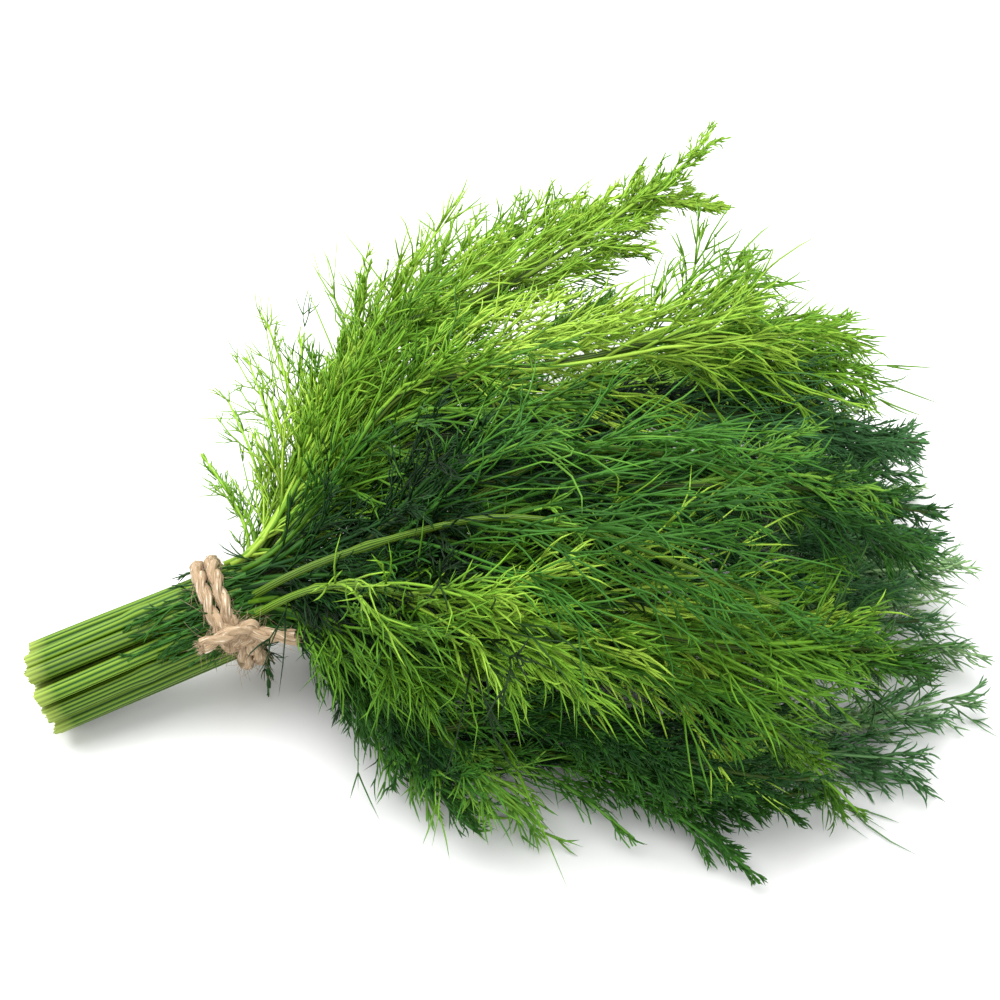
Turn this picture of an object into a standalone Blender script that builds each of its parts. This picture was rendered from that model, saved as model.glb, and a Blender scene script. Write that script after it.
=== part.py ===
"""A bunch of cut dill, tied with jute twine and lying on its side.

Metres, +Z up. +X runs from the cut stem ends to the leaf tips and +Y is across the bunch. The origin is on the
surface that the bunch lies on, under the middle of its box.

Nineteen sprigs stand round one another in the tie, one in the core, six round it and twelve round those. A sprig
is one grown piece, its stem and its plume of thread-like leaves, so each is one closed solid. All sprigs are drawn
through one smooth map of the whole bunch, section by section. The map never folds, so what is side by side in the
tie stays side by side out to the tips. The twine is one piece: two turns, a knot and two short ends.
"""

import math

import bpy
import numpy as np

# The bunch as a whole
BUNCH_LENGTH = 0.294
STEM_YAW = math.radians(8.0)  # the tied stems point a little to one side of the plumes
STEM_RISE = math.radians(12.5)  # and slope up from their cut ends
TIE_X = 0.058
LEAVES_X = 0.066  # where the first leaves leave the stems

# The stems where they are tied
STEM_RADIUS = 0.00255
STEM_PITCH = 0.0055
CUT_END_SPREAD = 1.06
CUT_SCATTER = 0.0022  # how unevenly the stems are cut off
RINGS = ((1, 0, 0.0), (6, 1, 12.0), (12, 2, 20.0))  # stems in a ring, pitches from the core, first angle in degrees
BUNDLE_RADIUS = RINGS[-1][1] * STEM_PITCH + STEM_RADIUS

# The plumes
FLARE_WIDTH = 0.071  # half widths and half heights that the plumes gain over the bundle's radius
FLARE_LENGTH = 0.050
SPREAD_WIDTH = 0.034
SPREAD_START = 0.130
SPREAD_LENGTH = 0.080
NARROWING = 0.015
LIFT_HEIGHT = 0.040
LIFT_LENGTH = 0.060
TIP_DROP = 0.020
DROP_START = 0.195
SETTLE_LENGTH = 0.050  # along which the sloping bundle settles onto its plumes
SETTLED_HEIGHT = 0.93  # of the half height, so that the lowest plumes press flat on the surface
NEAR_SAG = 0.62  # how far the outer plumes hang below the middle ones, in half heights
FAR_SAG = 0.22
FAR_REACH = 0.026  # how much wider the side at +Y spreads
FORWARD_TURN = math.radians(-1.5)  # where the plumes head, past the tie
TURN_LENGTH = 0.130
CELL_RADIUS = 0.185  # of one plume, where the whole section is a disc of radius 1
INNER_TIPS = (0.270, 0.284, 0.280, 0.266, 0.282, 0.286)  # how far the sprigs of each ring reach along X
OUTER_TIPS = (0.222, 0.252, 0.264, 0.280, 0.262, 0.214, 0.222, 0.252, 0.282, 0.291, 0.260, 0.224)
OUTER_CURLS = (0.14, 0.46, 0.18, 0.04, 0.06, 0.07, 0.0, 0.0, 0.0, 0.0, 0.04, 0.12)  # and lean out at their tips
CURL_START = 0.110
TIP_LENGTH = 0.060
TIP_RADIUS = 0.16  # of the plume's own radius
WHORL_LENGTH = 0.031  # from one tuft of leaves to the next
WHORL_DEPTH = 0.16

# The twine
TWINE_RADIUS = 0.00175
TWINE_CLEARANCE = 0.0004
TURN_STEP = 0.0044
TURNS = 2
GATHER_TURN = 0.13  # the last of a turn, in which the twine climbs and draws in to the knot
GATHER = 0.32
GATHER_RISE = 0.0025
KNOT_ANGLE = math.radians(166.0)  # round the bundle, from +Y over the top
KNOT_SIZE = (0.0050, 0.0034, 0.0046)
KNOT_BAND_RADIUS = 0.0041
KNOT_BAND_SLANT = 0.3  # how far the band leans along the bundle, over its radius
KNOT_BAND_THINNING = 0.9
END_LENGTHS = (0.019, 0.024)
END_HEADINGS = ((-0.93, -0.34, -0.10), (0.84, -0.44, -0.02))  # of the ends as they leave the knot
END_DROOPS = ((-0.06, 0.02, -0.16), (0.10, -0.10, 0.03))
END_TAPER = 0.82

# How finely the solids are faceted
PLUME_SIDES = 8
STEM_STATIONS = 4
PLUME_STATION_STEP = 0.0115
TWINE_SIDES = 6
POINTS_PER_TURN = 22
BEAD_SIDES = 10
BEAD_POINTS = 7
BEAD_POLE_GAP = 0.03  # of the half turn from pole to pole
BAND_POINTS = 11
BAND_OVERRUN = 0.1  # of a half turn, past each side of the bead
END_POINTS = 7
SHARP_ANGLE = math.radians(50.0)
SPRIG_ROUGHNESS = 0.6
TWINE_ROUGHNESS = 0.9

LEAF_GREENS = ((0.025, 0.1, 0.03), (0.06, 0.2, 0.035), (0.115, 0.32, 0.035))
SHADE_HEIGHTS = (-0.3, 0.3)  # of the unit disc: the lowest sprigs are the darkest
TWINE_TAN = (0.52, 0.33, 0.19)


def ease(t):
    """0 below 0, 1 above 1, and a smooth step between."""
    t = np.clip(t, 0.0, 1.0)
    return t * t * (3.0 - 2.0 * t)


def mix(a, b, share):
    return a + (b - a) * share


def bundle_radius(x):
    """Half the thickness of the bare stems, which stand a little apart at their cut ends."""
    return BUNDLE_RADIUS * mix(CUT_END_SPREAD, 1.0, ease(x / TIE_X))


def half_width(x):
    """The plumes flare steeply from the tie, spread on slowly, and draw in a little towards their tips."""
    flare = FLARE_WIDTH * ease((x - LEAVES_X) / FLARE_LENGTH)
    spread = SPREAD_WIDTH * ease((x - SPREAD_START) / SPREAD_LENGTH)
    narrowing = NARROWING * ease((x - DROP_START) / (BUNCH_LENGTH - DROP_START))
    return bundle_radius(x) + flare + spread - narrowing


def half_height(x):
    """The plumes rise from the tie, and hang lower towards their tips."""
    lift = LIFT_HEIGHT * ease((x - LEAVES_X) / LIFT_LENGTH)
    drop = TIP_DROP * ease((x - DROP_START) / (BUNCH_LENGTH - DROP_START))
    return bundle_radius(x) + lift - drop


def centre_line(x):
    """Middle of the section at x: the stems' straight line, then a bend towards where the plumes lie."""
    stem_y = math.tan(STEM_YAW) * x
    past_tie = np.maximum(x - TIE_X, 0.0)
    turned = ease(past_tie / TURN_LENGTH)
    slope_change = math.tan(FORWARD_TURN) - math.tan(STEM_YAW)
    y = stem_y + slope_change * past_tie * turned
    stem_z = bundle_radius(0.0) + math.tan(STEM_RISE) * x
    z = mix(stem_z, SETTLED_HEIGHT * half_height(x), ease((x - LEAVES_X) / SETTLE_LENGTH))
    return y, z


def place(x, u, v):
    """Where the point (u, v) of the unit disc lies in the section at x.

    Sections through the stems stand square to them, and lean over to upright where the plumes start. Outer plumes
    sag. On the side at +Y they spread wider, and the upper ones sag less. Nothing goes below the surface.
    """
    y_middle, z_middle = centre_line(x)
    opened = ease((x - LEAVES_X) / SETTLE_LENGTH)
    across = half_width(x) * u + FAR_REACH * opened * np.maximum(u, 0.0)
    far_sag = mix(NEAR_SAG, FAR_SAG, ease(0.5 + 0.5 * v))
    sag = np.where(u > 0.0, far_sag, NEAR_SAG)
    up = half_height(x) * (v - sag * opened * u * u)
    lean = math.tan(STEM_YAW) * across + math.tan(STEM_RISE) * up
    x_placed = x - (1.0 - opened) * lean
    z = np.maximum(z_middle + up, 0.0)
    return np.stack([x_placed, y_middle + across, z], axis=-1)


def loft(rings):
    """Points and faces of a closed solid through rings of points, with a flat cap on each end."""
    count, sides = rings.shape[:2]
    start = np.arange(count - 1)[:, None] * sides
    side = np.arange(sides)[None, :]
    after = (side + 1) % sides
    quads = np.stack([start + side, start + after, start + sides + after, start + sides + side], axis=-1)
    faces = quads.reshape(-1, 4).tolist()
    faces.append(list(range(sides))[::-1])
    faces.append([(count - 1) * sides + i for i in range(sides)])
    return rings.reshape(-1, 3), faces


def add_solid(name, points, faces, material):
    """A smooth-shaded object with its sharp edges kept."""
    mesh = bpy.data.meshes.new(name)
    mesh.from_pydata(np.asarray(points).tolist(), [], faces)
    mesh.materials.append(material)
    mesh.shade_smooth()
    mesh.set_sharp_from_angle(angle=SHARP_ANGLE)
    solid = bpy.data.objects.new(name, mesh)
    bpy.context.scene.collection.objects.link(solid)
    return solid


def matte(name, colour, roughness):
    """A Principled material with one colour."""
    material = bpy.data.materials.new(name)
    material.use_nodes = True
    shader = material.node_tree.nodes["Principled BSDF"]
    shader.inputs["Base Color"].default_value = (*colour, 1.0)
    shader.inputs["Roughness"].default_value = roughness
    shader.inputs["Metallic"].default_value = 0.0
    return material


def sprig_rings(angle_round, reach, cut_x, tip_x, curl):
    """Rings of one sprig: a round stem, then a plume that swells in tufts to fill its share of the section."""
    stem_x = np.linspace(0.0, LEAVES_X, STEM_STATIONS, endpoint=False)
    stem_x[0] = cut_x
    plume_x = np.append(np.arange(LEAVES_X, tip_x - PLUME_STATION_STEP / 2, PLUME_STATION_STEP), tip_x)
    x = np.concatenate([stem_x, plume_x])[:, None]
    reach = reach + curl * ease((x - CURL_START) / (BUNCH_LENGTH - CURL_START))
    u = reach * math.cos(angle_round)
    v = reach * math.sin(angle_round)
    tufts = 1.0 - WHORL_DEPTH * (0.5 + 0.5 * np.cos(2.0 * math.pi * (x - tip_x) / WHORL_LENGTH))
    along_tip = np.clip((x - tip_x + TIP_LENGTH) / TIP_LENGTH, 0.0, 1.0)
    taper = mix(np.sqrt(1.0 - along_tip**2), 1.0, TIP_RADIUS)
    filled = CELL_RADIUS * tufts * taper
    leafy = ease((x - LEAVES_X) / (FLARE_LENGTH / 2))
    angle = (np.arange(PLUME_SIDES) + 0.5)[None, :] * 2.0 * math.pi / PLUME_SIDES
    wide = mix(STEM_RADIUS / half_width(x), filled, leafy)
    high = mix(STEM_RADIUS / half_height(x), filled, leafy)
    return place(x, u + wide * np.cos(angle), v + high * np.sin(angle))


def make_sprigs():
    """The core sprig, the inner ring and the outer ring, the longest in the middle."""
    rng = np.random.default_rng(7)
    names = ("sprig_core", "sprig_inner", "sprig_outer")
    tips = ((BUNCH_LENGTH,), INNER_TIPS, OUTER_TIPS)
    curls = ((0.0,), (0.0,) * len(INNER_TIPS), OUTER_CURLS)
    shades = [matte(f"dill_green_{i}", colour, SPRIG_ROUGHNESS) for i, colour in enumerate(LEAF_GREENS)]
    sprigs = []
    for ring, (count, pitches, first_angle) in enumerate(RINGS):
        reach = pitches * STEM_PITCH / BUNDLE_RADIUS
        for i in range(count):
            angle = math.radians(first_angle) + 2.0 * math.pi * i / count
            cut_x = rng.uniform(-CUT_SCATTER, CUT_SCATTER)
            points, faces = loft(sprig_rings(angle, reach, cut_x, tips[ring][i], curls[ring][i]))
            node = names[ring] if count == 1 else f"{names[ring]}_{i + 1:02d}"
            height = reach * math.sin(angle)
            shade = shades[int(np.digitize(height, SHADE_HEIGHTS))]
            sprigs.append(add_solid(node, points, faces, shade))
    return sprigs


def tube(path, radius, sides):
    """Rings of a round tube along a path, with the rings kept from twisting against +X."""
    heading = np.gradient(path, axis=0)
    heading /= np.linalg.norm(heading, axis=1)[:, None]
    seed = np.array([1.0, 0.05, 0.02])
    first = np.cross(heading, seed)
    first /= np.linalg.norm(first, axis=1)[:, None]
    second = np.cross(heading, first)
    angle = np.arange(sides) * 2.0 * math.pi / sides
    radius = np.broadcast_to(radius, len(path))[:, None, None]
    offset = first[:, None] * np.cos(angle)[None, :, None] + second[:, None] * np.sin(angle)[None, :, None]
    return path[:, None] + radius * offset


def around_tie(x, distance, angle):
    """The point at this distance from the bundle's middle, at this angle round it from +Y over the top."""
    radius = bundle_radius(x)
    return place(x, distance * np.cos(angle) / radius, distance * np.sin(angle) / radius)


def bent_end(start, heading, droop, length):
    """Points of a short free end that leaves the knot straight and bends evenly towards droop."""
    t = np.linspace(0.0, 1.0, END_POINTS)[:, None]
    return start + length * (t * np.array(heading) + t * t * np.array(droop))


def make_twine():
    """Two turns round the stems, a knot on their front, and two short ends, joined into one body."""
    jute = matte("jute_twine", TWINE_TAN, TWINE_ROUGHNESS)
    distance = BUNDLE_RADIUS + TWINE_CLEARANCE + TWINE_RADIUS
    turn = np.linspace(0.0, TURNS, TURNS * POINTS_PER_TURN + 1)
    gathered = ease(1.0 - np.minimum(turn, TURNS - turn) / GATHER_TURN)
    turns_x = TIE_X + (turn - TURNS / 2) * TURN_STEP * (1.0 - GATHER * gathered)
    turns_path = around_tie(turns_x, distance + GATHER_RISE * gathered, KNOT_ANGLE - 2.0 * math.pi * turn)
    twine = add_solid("twine_tie", *loft(tube(turns_path, TWINE_RADIUS, TWINE_SIDES)), jute)

    middle = around_tie(TIE_X, distance + KNOT_SIZE[1] - TWINE_RADIUS / 2, KNOT_ANGLE)
    bead_angle = np.linspace(BEAD_POLE_GAP, 1.0 - BEAD_POLE_GAP, BEAD_POINTS) * math.pi
    bead_path = middle + np.stack([-KNOT_SIZE[0] * np.cos(bead_angle), 0 * bead_angle, 0 * bead_angle], axis=-1)
    bead = add_solid("knot_bead", *loft(tube(bead_path, KNOT_SIZE[2] * np.sin(bead_angle), BEAD_SIDES)), jute)
    band_angle = np.linspace(-BAND_OVERRUN, 1.0 + BAND_OVERRUN, BAND_POINTS) * math.pi
    along_band = np.cos(band_angle)
    band_offset = np.stack([KNOT_BAND_SLANT * along_band, -np.sin(band_angle), along_band], axis=-1)
    band_path = middle + KNOT_BAND_RADIUS * band_offset
    band_radius = TWINE_RADIUS * KNOT_BAND_THINNING
    band = add_solid("knot_band", *loft(tube(band_path, band_radius, TWINE_SIDES)), jute)

    taper = np.linspace(1.0, END_TAPER, END_POINTS) * TWINE_RADIUS
    helpers = [bead, band]
    for name, heading, droop, length in zip(("end_left", "end_right"), END_HEADINGS, END_DROOPS, END_LENGTHS):
        end_path = bent_end(middle, heading, droop, length)
        helpers.append(add_solid(name, *loft(tube(end_path, taper, TWINE_SIDES)), jute))

    for helper in helpers:
        helper.hide_render = True
        helper.display_type = "WIRE"
        union = twine.modifiers.new(f"join_{helper.name}", "BOOLEAN")
        union.operation = "UNION"
        union.solver = "EXACT"
        union.object = helper
    return twine, helpers


def stand_on_origin(solids, helpers):
    """Moves every mesh so that the bunch's box has its bottom centre at the origin."""
    corners = []
    for solid in solids:
        points = np.empty(len(solid.data.vertices) * 3, np.float32)
        solid.data.vertices.foreach_get("co", points)
        corners.append(points.reshape(-1, 3))
    points = np.concatenate(corners).astype(float)
    low = points.min(axis=0)
    high = points.max(axis=0)
    shift = (-(low[0] + high[0]) / 2, -(low[1] + high[1]) / 2, -low[2])
    for solid in (*solids, *helpers):
        points = np.empty(len(solid.data.vertices) * 3, np.float32)
        solid.data.vertices.foreach_get("co", points)
        moved = points.reshape(-1, 3) + np.array(shift, np.float32)
        solid.data.vertices.foreach_set("co", moved.ravel())
        solid.data.update()


def main():
    for old in list(bpy.data.objects):
        bpy.data.objects.remove(old)
    sprigs = make_sprigs()
    twine, helpers = make_twine()
    stand_on_origin([*sprigs, twine], helpers)


main()
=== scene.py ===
"""Looks of a bunch of cut dill tied with jute twine: ribbed stems, thread-like leaves and a two-ply tie.

The bunch is drawn through the same smooth map as its solids: a section at each length x, in which a point
is named by its place (u, v) in a disc of radius 1. Stems and leaf stalks follow that map, and their side
leaves branch from them in space. Lengths are in metres.
"""

import math
from typing import NamedTuple

import bpy
import numpy as np
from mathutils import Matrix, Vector


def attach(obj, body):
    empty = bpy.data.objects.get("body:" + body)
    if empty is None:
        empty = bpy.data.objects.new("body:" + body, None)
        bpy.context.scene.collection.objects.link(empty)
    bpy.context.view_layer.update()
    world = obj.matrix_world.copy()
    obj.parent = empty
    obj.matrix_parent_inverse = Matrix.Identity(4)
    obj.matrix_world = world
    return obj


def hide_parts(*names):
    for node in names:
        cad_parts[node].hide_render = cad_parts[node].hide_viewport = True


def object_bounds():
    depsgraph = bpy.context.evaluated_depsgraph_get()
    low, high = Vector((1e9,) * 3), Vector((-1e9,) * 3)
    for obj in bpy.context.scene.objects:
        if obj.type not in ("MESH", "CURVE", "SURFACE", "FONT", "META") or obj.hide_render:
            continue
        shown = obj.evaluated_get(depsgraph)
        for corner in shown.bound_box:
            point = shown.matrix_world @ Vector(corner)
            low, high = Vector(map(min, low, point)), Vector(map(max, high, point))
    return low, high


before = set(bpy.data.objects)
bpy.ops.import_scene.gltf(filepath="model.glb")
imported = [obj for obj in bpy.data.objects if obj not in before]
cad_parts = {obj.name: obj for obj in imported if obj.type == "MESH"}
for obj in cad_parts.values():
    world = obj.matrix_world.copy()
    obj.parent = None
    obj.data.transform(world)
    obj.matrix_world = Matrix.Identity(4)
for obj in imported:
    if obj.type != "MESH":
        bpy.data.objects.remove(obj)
CAD_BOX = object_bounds()

bl_info = {
    "name": "Dill bunch",
    "version": (1, 0, 0),
    "blender": (4, 5, 0),
    "location": "View3D > Sidebar > Dill",
    "description": "Finishes a tied bunch of cut dill over its solid model",
    "category": "Object",
}

# The bunch's map, as in its solids
BUNCH_LENGTH = 0.294
CUT_MIDDLE = np.array([-0.1446342, -0.0202876, 0.000122])  # the map's origin, in the frame
STEM_YAW = math.radians(8.0)
STEM_RISE = math.radians(12.5)
TIE_X = 0.058
LEAVES_X = 0.066
STEM_RADIUS = 0.00255
STEM_PITCH = 0.0055
CUT_END_SPREAD = 1.06
CUT_SCATTER = 0.0022
RINGS = ((1, 0, 0.0), (6, 1, 12.0), (12, 2, 20.0))
BUNDLE_RADIUS = RINGS[-1][1] * STEM_PITCH + STEM_RADIUS
FLARE_WIDTH = 0.071
FLARE_LENGTH = 0.050
SPREAD_WIDTH = 0.034
SPREAD_START = 0.130
SPREAD_LENGTH = 0.080
NARROWING = 0.015
LIFT_HEIGHT = 0.040
LIFT_LENGTH = 0.060
TIP_DROP = 0.020
DROP_START = 0.195
SETTLE_LENGTH = 0.050
SETTLED_HEIGHT = 0.93
NEAR_SAG = 0.62
FAR_SAG = 0.22
FAR_REACH = 0.026
FORWARD_TURN = math.radians(-1.5)
TURN_LENGTH = 0.130
CELL_RADIUS = 0.185
INNER_TIPS = (0.270, 0.284, 0.280, 0.266, 0.282, 0.286)
OUTER_TIPS = (0.222, 0.252, 0.264, 0.280, 0.262, 0.214, 0.222, 0.252, 0.282, 0.291, 0.260, 0.224)
OUTER_CURLS = (0.14, 0.46, 0.18, 0.04, 0.06, 0.07, 0.0, 0.0, 0.0, 0.0, 0.04, 0.12)
CURL_START = 0.110

# The twine, whose two turns draw together where they climb into the knot
TWINE_RADIUS = 0.00175
TWINE_CLEARANCE = 0.0004
TURN_STEP = 0.0044
TURNS = 2
GATHER_TURN = 0.13
GATHER = 0.32
GATHER_RISE = 0.0025
KNOT_ANGLE = math.radians(166.0)
KNOT_LIFT = 0.0014
KNOT_WIDTH = 0.0019  # the knot's size, over its trefoil's
KNOT_DEPTH = 0.0011
KNOT_RISE = 0.0017
# Its two ends: where each heads, how it droops, and its length
ENDS = (
    ((0.93, -0.36, 0.03), (0.10, 0.02, -0.06), 0.031),
    ((-0.95, -0.20, -0.06), (-0.06, 0.02, -0.12), 0.021),
)
PLY_SIDES = 24
TURNS_HAIRS = 560  # loose fibres on the turns
KNOT_HAIRS = 380
FRAYED_FIBRES = 60  # at each cut end of the twine

# The stems
LEAFY_X = 0.070  # where their bare stretch ends
STALK_START = 0.060  # where they begin to thin to leaf stalks
STALK_LENGTH = 0.024
THINNING_START = 0.100
THINNEST = 0.3
SWAY = 0.05  # how far a stem strays from its place before the tie
LOWEST_GAP = 0.0002  # under a stem that lies on the surface
STEM_NODES = {"sprig_outer_03": 0.034, "sprig_outer_05": 0.041, "sprig_outer_06": 0.030}
NODE_WIDTH = 0.003

# The leaves
STRAIGHTENING = 0.9  # how far a side branch bends back towards what it branched from
STALK_RADIUS = 0.0009  # of a leaf stalk, at its base
FIRST_LEAF_X = 0.064
LOW_FIRST_LEAF_X = 0.078  # on the underside
LAST_LEAF = 0.055  # from the last leaf's base to the tip
LEAF_RUNS = (0.066, 0.098)
CROWDING = 1.4  # of the leaves towards the tie
GOLDEN_TURN = 2.4
OUTWARD_SHARE = 0.55  # of their drift that the leaves keep where it leads out of the bunch
TIP_SHARE = 0.93  # of the way to its tip, which its last threads then reach
INNER_LEAVES = (5, 0)  # plume leaves and collar leaves of a sprig
OUTER_LEAVES = (
    (3, 0), (4, 0), (6, 4), (7, 5), (7, 5), (5, 4), (4, 0), (4, 0), (5, 0), (6, 0), (5, 0), (3, 0),
)
SHORTER = {
    "sprig_core": 0.012,
    "sprig_inner_03": 0.010,
    "sprig_outer_02": 0.010,
    "sprig_outer_04": 0.012,
    "sprig_outer_05": 0.010,
}
NEAR_SPRIGS = ("sprig_outer_06", "sprig_outer_07", "sprig_outer_08")  # on the near side, low down
NEAR_DELAY = 0.010  # their leaves start further on, are shorter, and drift less outward
NEAR_RUN = 0.8
NEAR_OUTWARD_SHARE = 0.05
# Which green a sprig takes: partly its own tone, the deep greens glaucous, and partly painted light: bright
# greens on top, deep ones inside and underneath
BRIGHT_SPRIGS = ("sprig_outer_01", "sprig_outer_02", "sprig_outer_03", "sprig_outer_05")
DEEP_SPRIGS = (
    "sprig_core", "sprig_inner_02", "sprig_inner_03", "sprig_inner_04", "sprig_inner_05",
    "sprig_inner_06", "sprig_outer_08", "sprig_outer_09", "sprig_outer_10",
)
PAINTED_FAR_LIGHT = 0.36  # painted light: how much lighter the leaves are painted on the far side
PAINTED_NEAR_SHADE = 0.13  # and painted shade: how much deeper they are painted on the near one
TIP_SHIFTS = {"bright": -0.10, "green": 0.05, "deep": 0.56}  # of the shade, towards the bunch's tips
PRESSED_SPRIG = "sprig_outer_06"
PRESSED_GAP = 0.0007  # from the bundle to the leaves on it
PRESSED_SHADE = 0.42
# Leaves caught under the twine: where they run from and to along the stems, and round them in degrees
PRESSED = (
    (0.084, 0.034, 112.0, 118.0),
    (0.086, 0.028, 128.0, 136.0),
    (0.084, 0.036, 142.0, 150.0),
    (0.086, 0.040, 156.0, 160.0),
    (0.086, 0.030, 96.0, 100.0),
)
BARE_POINTS = 8  # of a top stalk's path, before its first leaves
# Stalks that lie bare on top of the bunch: their sprig, shade, and places over the cut ends
TOP_STALKS = (
    ("sprig_outer_04", 0.55, (
        (0.060, 0.0035, 0.0345), (0.080, -0.004, 0.056), (0.107, -0.026, 0.085),
        (0.141, -0.028, 0.094), (0.170, -0.048, 0.089), (0.205, -0.068, 0.079),
    )),
    ("sprig_outer_05", 0.75, (
        (0.060, -0.0010, 0.0310), (0.078, -0.008, 0.050), (0.095, -0.024, 0.068),
        (0.121, -0.053, 0.078), (0.148, -0.064, 0.066),
    )),
    ("sprig_outer_04", 0.62, (
        (0.098, -0.016, 0.060), (0.122, -0.018, 0.082), (0.150, -0.012, 0.095),
        (0.180, -0.014, 0.096), (0.222, -0.030, 0.080),
    )),
)

# The map of each mesh, and the walls that the leaves stay within
BAKE_MAP = "OFBake"
LEAF_ROWS = (0.02, 0.46)  # where each finish lies on the map, in its second coordinate
STEM_ROWS = (0.52, 0.86)
STEM_BARE_ROWS = (0.56, 0.62)
CUT_ROWS = (0.90, 0.98)
PROUD = 0.0085  # how far the leaves may reach past the solids' box
EDGE_WIDTH = 0.014
LEAF_FINISH, STEM_FINISH, CUT_FINISH = 0, 1, 2
FLOOR_GAP = 0.0005
FLOOR_SOFTNESS = 0.0016
JUTE_CUT_ROWS = (0.965, 0.985)  # where the twine's cut faces lie on its own map
JUTE_FIBRE_ROWS = (0.60, 0.62)  # and its loose fibres
# How often the noise repeats round and along a piece's map
STREAKS = (26.0, 14.0, 1.0)  # on a stem, about 0.6 mm wide and 50 mm long
STRANDS = (15.0, 120.0, 1.0)  # on a ply, about 0.6 mm wide and 6 mm long

# The stage
MIDDLE = (0.002225, 0.007755, 0.038048)  # what the camera and the lights look at
CAMERA_TURN = math.radians(-12.0)
CAMERA_HEIGHT = math.radians(45.0)
CAMERA_DISTANCE = 0.737847
LENS = 85.0  # in millimetres, like the sensor
SENSOR = 36.0
KEY_PLACE = (-0.28, 0.34, 1.25)
FILL_PLACE = (0.3, -1.1, 1.0)
LIGHT_SIZE = 1.5
WORLD_STRENGTH = 0.74
FLOOR_REACH = 14.0

# Colours of the leaves' threads, by kind and from the darkest to the lightest; the near-black darkest stops
# are painted shade in the gaps deep inside
THREAD_SHADES = ("darkest", "darker", "lighter", "lightest")
LEAF_COLOURS = {
    "bright": ("#0A2404", "#2F620E", "#6DA022", "#AACF48"),
    "green": ("#041404", "#15430F", "#427C20", "#88B83E"),
    "deep": ("#06150A", "#235227", "#487A42", "#A0C286"),
}
# Stems of the deep sprigs, inside and underneath, are darker: partly tone that differs by sprig, partly
# painted shade
STEM_BRIGHTNESS = {"bright": 0.58, "green": 0.42, "deep": 0.30}


class LeafStyle(NamedTuple):
    """How one kind of dill leaf is divided."""

    pairs: tuple  # of side leaves, of leaflets on each and of threads on each of those
    shares: tuple  # their lengths over what they branch from, at its base
    radius: float
    spread: float  # angle between a branch and what it branches from, in degrees
    twist: float  # how far the branches stray out of their plane, in degrees
    droop: float
    shortest: float


LOOSE = LeafStyle((7, 3, 2), (0.50, 0.72, 0.74), 0.00039, 30.0, 28.0, 0.16, 0.0050)
DENSE = LeafStyle((8, 4, 2), (0.38, 0.60, 0.64), 0.00034, 36.0, 36.0, 0.20, 0.0040)
AIRY = LeafStyle((6, 2, 1), (0.40, 0.66, 0.7), 0.00025, 40.0, 36.0, 0.05, 0.0040)
TIGHT = LeafStyle((10, 5, 2), (0.27, 0.46, 0.55), 0.00031, 34.0, 38.0, 0.05, 0.0026)
FLAT = LeafStyle((7, 2, 1), (0.34, 0.50, 0.5), 0.00030, 20.0, 7.0, 0.0, 0.0026)
# The other sprigs are loose where they are bright, and else dense
STYLES = {
    "sprig_core": TIGHT,
    "sprig_inner_03": TIGHT,
    "sprig_outer_01": AIRY,
    "sprig_outer_02": TIGHT,
    "sprig_outer_06": TIGHT,
    "sprig_outer_07": TIGHT,
    "sprig_outer_08": TIGHT,
    "sprig_outer_09": TIGHT,
    "sprig_outer_12": AIRY,
}


class Order(NamedTuple):
    """How the branches of one order leave what they branch from."""

    first: float  # where, as a share of its length
    last: float
    power: float  # of the share left to its tip, by which they grow shorter
    least: float  # their least length, over its length
    spread: tuple  # their angle at its base and at its tip, over the style's
    stations: int  # points along each
    scatter: float  # of their bend
    radii: tuple  # at the base and the tip, over the style's
    shift: float  # of their shade, which is lighter in a stalk
    bluntness: float


ORDERS = (
    Order(0.14, 0.96, 0.75, 0.05, (1.0, 0.7), 6, 0.3, (1.5, 0.9), 0.06, 0.7),
    Order(0.24, 0.93, 0.6, 0.14, (0.95, 0.65), 5, 0.4, (1.1, 0.6), 0.0, 0.0),
    Order(0.30, 0.74, 0.4, 0.10, (0.85, 0.6), 4, 0.5, (1.0, 0.55), 0.0, 0.0),
)

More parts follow.
